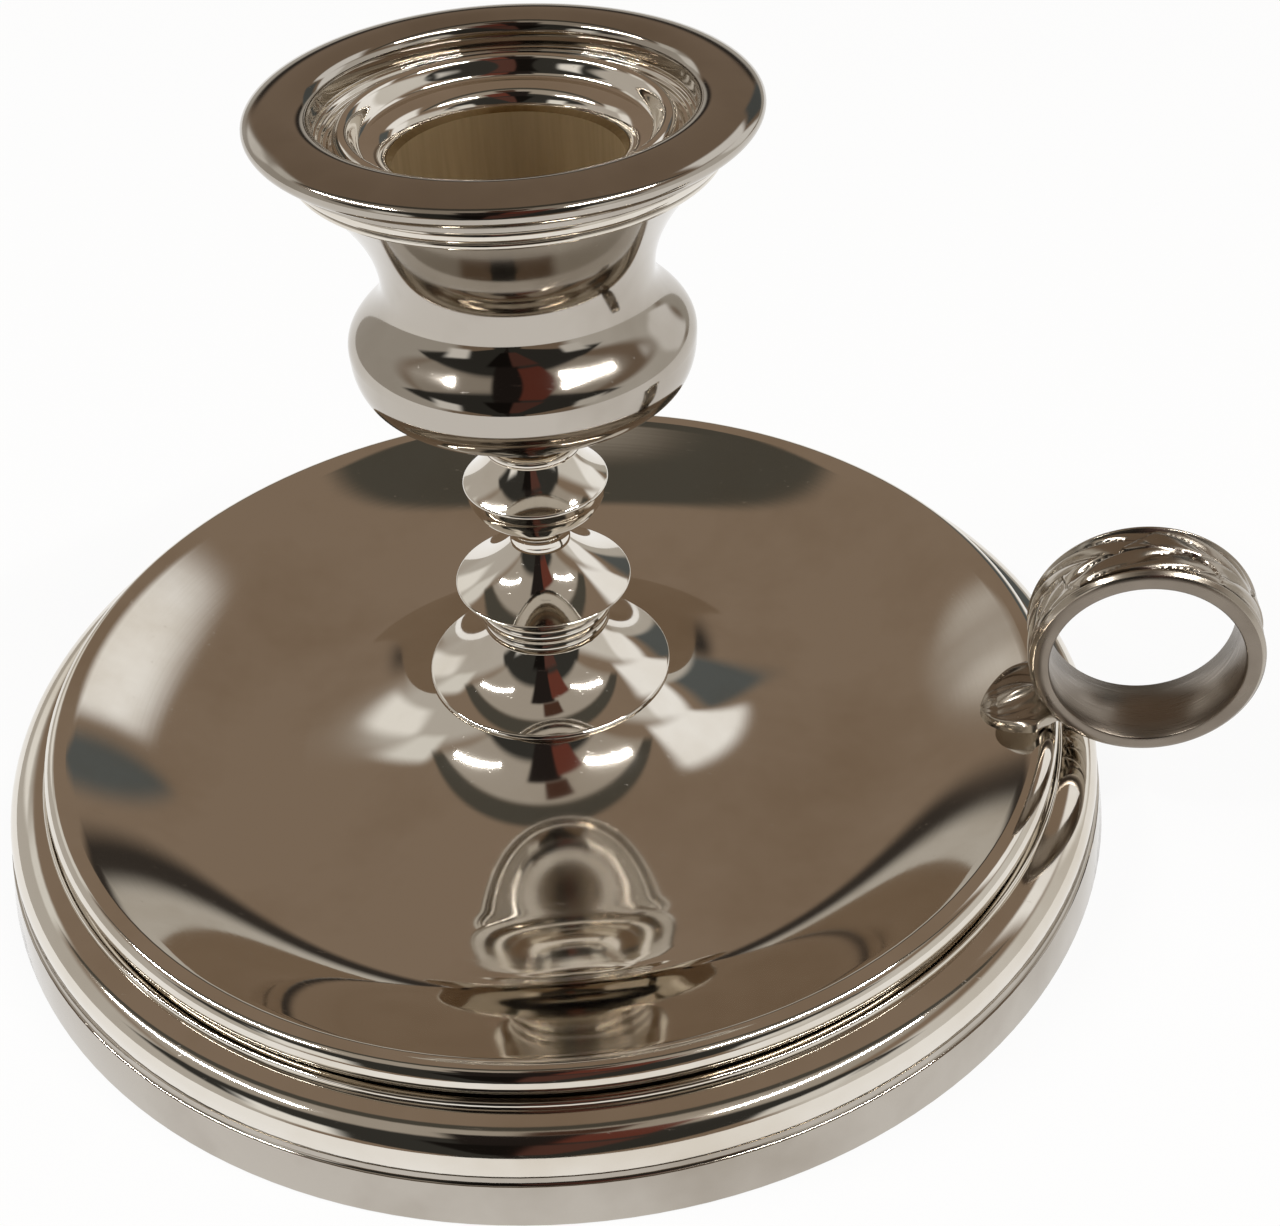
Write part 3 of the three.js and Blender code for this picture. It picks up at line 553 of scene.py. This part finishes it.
def makeRing(middle):
    inner, outer, half, bevel = ring["inner"], ring["outer"], ring["half"], ring["innerRound"]
    face = half - ring["faceInset"]
    outline = [(inner, half - bevel), (inner, -half + bevel), (inner + bevel, -half)]
    outline += [(outer - back, -half + up) for back, up in ring["outerRounds"]]
    outline += [(outer, face * (2 * i / ring["across"] - 1)) for i in range(ring["across"] + 1)]
    outline += [(outer - back, half - up) for back, up in ring["outerRounds"][::-1]]
    outline += [(inner + bevel, half)]
    bm = bmesh.new()
    verts = [bm.verts.new(middle + Vector((r, y, 0)) * mm) for r, y in outline]
    for a, b in zip(verts, verts[1:] + verts[:1]):
        bm.edges.new((a, b))
    spinRound(bm, ring["around"], middle, (0, 1, 0))
    for vert in bm.verts:
        out = vert.co - middle
        across = out.y / mm / face
        out.y = 0
        if out.length > (outer - 0.05) * mm:  # the outer face only
            along = math.atan2(out.z, out.x) / (2 * math.pi)
            vert.co += out.normalized() * leafRelief(along, across) * mm
    bmesh.ops.recalc_face_normals(bm, faces=bm.faces[:])
    return bm


ringMiddle = Vector(ring["centre"]) * mm
fingerRing = finishPiece("fingerRing", makeRing(ringMiddle), reliefSilver, "holder",
                         "ring_handle", sharpAngle=50)
fingerRing.data.materials.append(satin)
for face in fingerRing.data.polygons:
    out = face.center - ringMiddle
    out.y = 0
    face.material_index = 1 if out.length < (ring["outer"] - ring["satinInset"]) * mm else 0
print("ring ready")

# Leaf thumb-piece: a folded leaf lying on the lip, its edge rolled thick, tip towards the stem.
# Shares run from 0 at its root to 1 at its tip
leafPiece = {"root": 57.6, "length": 8.4, "half": 5.6, "rootHalf": 3.4, "tipHalf": 0.4, "rootShare": 0.3,
             "swellPower": 0.55, "low": 14.25, "rim": 0.75, "dome": 0.7, "domeFall": 0.6,
             "fold": 0.5, "foldWidth": 0.16, "hollow": 0.4, "vein": 0.08, "veins": 7, "veinLean": 4,
             "roll": 0.3, "rollFrom": 0.8, "droop": 2.4, "droopFrom": 0.3, "droopPower": 1.6, "cells": 72}


def leafHalfWidth(t):
    swell = math.sin(math.pi * min(1, 0.2 + 0.8 * t)) ** leafPiece["swellPower"] if t < 1 else 0
    wide = leafPiece["half"] * swell
    if t > leafPiece["rootShare"]:
        return max(wide, leafPiece["tipHalf"])
    return leafPiece["rootHalf"] + (wide - leafPiece["rootHalf"]) * t / leafPiece["rootShare"]


def makeLeaf():
    bm = bmesh.new()
    cells = leafPiece["cells"]
    bmesh.ops.create_grid(bm, x_segments=cells, y_segments=cells, size=1)
    for vert in bm.verts:
        t = (vert.co.x + 1) / 2
        side = vert.co.y
        fold = leafPiece["fold"] * math.exp(-(side / leafPiece["foldWidth"]) ** 2)
        fold -= leafPiece["hollow"] * math.sin(math.pi * abs(side))
        veinTurn = math.pi * (leafPiece["veins"] * abs(side) - leafPiece["veinLean"] * t)
        vein = leafPiece["vein"] * math.cos(veinTurn)
        edge = max(0, (max(abs(side), t) - leafPiece["rollFrom"]) / (1 - leafPiece["rollFrom"]))
        dome = leafPiece["dome"] * (1 - leafPiece["domeFall"] * side * side)
        height = leafPiece["rim"] + dome * math.sin(math.pi * (0.25 + 0.7 * t))
        height += (fold + vein) * math.sin(math.pi * (0.15 + 0.8 * t))
        height += leafPiece["roll"] * math.sin(math.pi * edge)
        vert.co = Vector((leafPiece["root"] - t * leafPiece["length"], side * leafHalfWidth(t),
                          leafPiece["low"] + height)) * mm
    shell = bmesh.ops.extrude_face_region(bm, geom=bm.faces[:])
    for item in shell["geom"]:
        if isinstance(item, bmesh.types.BMVert):
            item.co.z = leafPiece["low"] * mm
    for vert in bm.verts:
        t = (leafPiece["root"] - vert.co.x / mm) / leafPiece["length"]
        past = max(0, (t - leafPiece["droopFrom"]) / (1 - leafPiece["droopFrom"]))
        vert.co.z -= leafPiece["droop"] * past ** leafPiece["droopPower"] * mm
    bmesh.ops.recalc_face_normals(bm, faces=bm.faces[:])
    return bm


finishPiece("thumbLeaf", makeLeaf(), reliefSilver, "holder", "handle_leaf", sharpAngle=50)
print("leaf ready")

# Camera: the photo's view of the whole stick from a little above
view = {"place": (36.70, -160.06, 150.47), "turn": (51.904, 1.985, 7.676), "lens": 51.66, "sensor": 36,
        "nearest": 0.01}
cameraData = bpy.data.cameras.new("photoCamera")
cameraData.lens = view["lens"]
cameraData.sensor_fit = "HORIZONTAL"
cameraData.sensor_width = view["sensor"]
cameraData.clip_start = view["nearest"]
camera = bpy.data.objects.new("photoCamera", cameraData)
camera.location = Vector(view["place"]) * mm
camera.rotation_euler = [math.radians(angle) for angle in view["turn"]]
bpy.context.scene.collection.objects.link(camera)
bpy.context.scene.camera = camera

# Floor: pale paper that shows white and keeps a soft shadow
floorLook = {"paper": "f2f1ef", "rough": 0.9, "radius": 3, "glow": 0.92}
floorMesh = bpy.data.meshes.new("floor")
floorShape = bmesh.new()
bmesh.ops.create_circle(floorShape, cap_ends=True, segments=96, radius=floorLook["radius"])
floorShape.to_mesh(floorMesh)
floorShape.free()
floor = bpy.data.objects.new("floor", floorMesh)
bpy.context.scene.collection.objects.link(floor)
paper, paperTree, paperShader = newMaterial("Pale paper", Roughness=floorLook["rough"])
paperShader.inputs["Base Color"].default_value = linear(floorLook["paper"])
lightPath = addNode(paperTree, "ShaderNodeLightPath").outputs
seen = addNode(paperTree, "ShaderNodeMath", {
    0: lightPath["Is Camera Ray"], 1: lightPath["Is Glossy Ray"]}, operation="MAXIMUM")
seenToo = addNode(paperTree, "ShaderNodeMath", {
    0: seen.outputs[0], 1: lightPath["Is Transmission Ray"]}, operation="MAXIMUM")
glowShare = addNode(paperTree, "ShaderNodeMath", {
    0: seenToo.outputs[0], 1: floorLook["glow"]}, operation="MULTIPLY")
glow = addNode(paperTree, "ShaderNodeEmission", {"Color": (1, 1, 1, 1), "Strength": 1})
paperMix = addNode(paperTree, "ShaderNodeMixShader", {
    0: glowShare.outputs[0], 1: paperShader.outputs[0], 2: glow.outputs[0]})
paperTree.links.new(paperMix.outputs[0], paperTree.nodes["Material Output"].inputs["Surface"])
floorMesh.materials.append(paper)

# Room: taupe walls and ceiling, pale to either side and low at the back, darker on the camera's side.
# Each patch fades in between the two numbers of each edge. Right, far and rise are parts of the ray itself;
# ahead, aside and width are where it meets a ceiling one unit up, and arch is ahead with its sides bent back
room = {"walls": "877666", "lowest": 0.08, "archShift": 0.15, "archBend": -0.3, "patches": [
    {"colour": "37322e", "right": [(-0.62, -0.46), (0.24, 0.12)], "far": [(0.76, 0.86)],
     "rise": [(0.28, 0.2)]},
    {"colour": "585c5c", "right": [(0.16, 0.22), (0.5, 0.4)], "far": [(0.74, 0.82)], "rise": [(0.46, 0.41)]},
    {"colour": "b9b4ac", "far": [(0.7, 0.85)], "rise": [(0.17, 0.1)]},
    {"colour": "bdb8b1", "right": [(-0.54, -0.7)], "rise": [(0.6, 0.46)]},
    {"colour": "f2f0ec", "right": [(-0.58, -0.66), (-0.86, -0.78)], "far": [(0.4, 0.5)],
     "rise": [(0.48, 0.4), (0.18, 0.26)]},
    {"colour": "d6d3ce", "right": [(0.62, 0.78)], "rise": [(0.58, 0.44)]},
    {"colour": "ffffff", "right": [(0.5, 0.58), (0.86, 0.78)], "far": [(0.42, 0.52)],
     "rise": [(0.55, 0.42), (0.06, 0.12)]},
    {"colour": "ffffff", "ahead": [(0.42, 0.62), (1.85, 1.6)], "aside": [(0.56, 0.69), (1.5, 1.2)]},
    {"colour": "e2e0db", "ahead": [(0.3, 0.5), (1.1, 0.8)], "aside": [(-1.1, -1.3), (-2.0, -1.7)]},
    {"colour": "363532", "ahead": [(-0.52, -0.66)], "width": [(2.6, 1.9)]},
    {"colour": "f6f5f2", "right": [(-0.44, -0.52), (-0.74, -0.66)], "far": [(-0.4, -0.5)],
     "rise": [(0.52, 0.44), (0.1, 0.2)]},
    {"colour": "e4e2de", "right": [(0.6, 0.66), (0.84, 0.78)], "far": [(-0.3, -0.4)],
     "rise": [(0.5, 0.42), (0.12, 0.2)]},
    {"colour": "a79f95", "ahead": [(-0.72, -0.56)], "aside": [(-1.5, -1.2), (1.2, 0.95)],
     "arch": [(-0.15, -0.2)]},
    {"colour": "4c4942", "aside": [(-1.5, -1.25), (1.2, 1.0)], "arch": [(0.0, -0.05), (-0.22, -0.15)]},
    {"colour": "241f1d", "ahead": [(-0.36, -0.41)], "aside": [(-0.26, -0.2), (0.14, 0.08)]},
    {"colour": "67392f", "ahead": [(-0.4, -0.46), (-0.95, -0.8)], "aside": [(0.06, 0.1), (0.42, 0.36)]},
    {"colour": "4a3329", "ahead": [(-0.2, -0.24), (-0.42, -0.36)], "aside": [(-0.08, -0.04), (0.17, 0.13)]},
    {"colour": "171412", "rise": [(0.2, 0.28)], "ahead": [(-0.9, -1.1)],
     "aside": [(-0.42, -0.34), (0.06, 0.0)]},
    {"colour": "573a33", "rise": [(0.2, 0.28)], "ahead": [(-0.9, -1.1)],
     "aside": [(0.0, 0.06), (0.48, 0.4)]},
]}
world = bpy.data.worlds.new("studioRoom")
bpy.context.scene.world = world
world.use_nodes = True
sky = world.node_tree
direction = addNode(sky, "ShaderNodeTexCoord").outputs["Generated"]
right, far, rise = addNode(sky, "ShaderNodeSeparateXYZ", {0: direction}).outputs
above = addNode(sky, "ShaderNodeMath", {0: rise, 1: room["lowest"]}, operation="MAXIMUM").outputs[0]
aside = addNode(sky, "ShaderNodeMath", {0: right, 1: above}, operation="DIVIDE").outputs[0]
ahead = addNode(sky, "ShaderNodeMath", {0: far, 1: above}, operation="DIVIDE").outputs[0]
width = addNode(sky, "ShaderNodeMath", {0: aside}, operation="ABSOLUTE").outputs[0]
shifted = addNode(sky, "ShaderNodeMath", {0: aside, 1: room["archShift"]}, operation="ADD").outputs[0]
square = addNode(sky, "ShaderNodeMath", {0: shifted, 1: shifted}, operation="MULTIPLY").outputs[0]
arch = addNode(sky, "ShaderNodeMath", {0: square, 1: room["archBend"], 2: ahead},
               operation="MULTIPLY_ADD").outputs[0]
measures = {"right": right, "far": far, "rise": rise, "ahead": ahead, "aside": aside, "width": width,
            "arch": arch}
roomColour = linear(room["walls"])
for patch in room["patches"]:
    mask = 1
    for measure, value in measures.items():
        for start, end in patch.get(measure, []):
            edge = addNode(sky, "ShaderNodeMapRange", {"Value": value, "From Min": start, "From Max": end},
                           interpolation_type="SMOOTHSTEP")
            mask = addNode(sky, "ShaderNodeMath", {0: edge.outputs[0], 1: mask},
                           operation="MULTIPLY").outputs[0]
    roomColour = addNode(sky, "ShaderNodeMix", {
        "Factor": mask, "A": roomColour, "B": linear(patch["colour"])}, data_type="RGBA").outputs["Result"]
sky.links.new(roomColour, sky.nodes["Background"].inputs["Color"])

# Lamps: two long strips overhead, one to each side, turned a little towards the camera
lamps = {
    "stripLeft": {"place": (-0.94, -0.22, 1.0), "turn": -37, "size": (0.82, 0.05), "power": 12},
    "stripRight": {"place": (0.66, -0.22, 1.0), "turn": 48, "size": (0.62, 0.045), "power": 8},
}
for lampName, lamp in lamps.items():
    lampData = bpy.data.lights.new(lampName, "AREA")
    lampData.shape = "RECTANGLE"
    lampData.size, lampData.size_y = lamp["size"]
    lampData.energy = lamp["power"]
    lampObject = bpy.data.objects.new(lampName, lampData)
    lampObject.location = lamp["place"]
    lampObject.rotation_euler = (0, 0, math.radians(lamp["turn"]))
    bpy.context.scene.collection.objects.link(lampObject)
bpy.context.scene.view_settings.view_transform = "Standard"
print("stage ready")
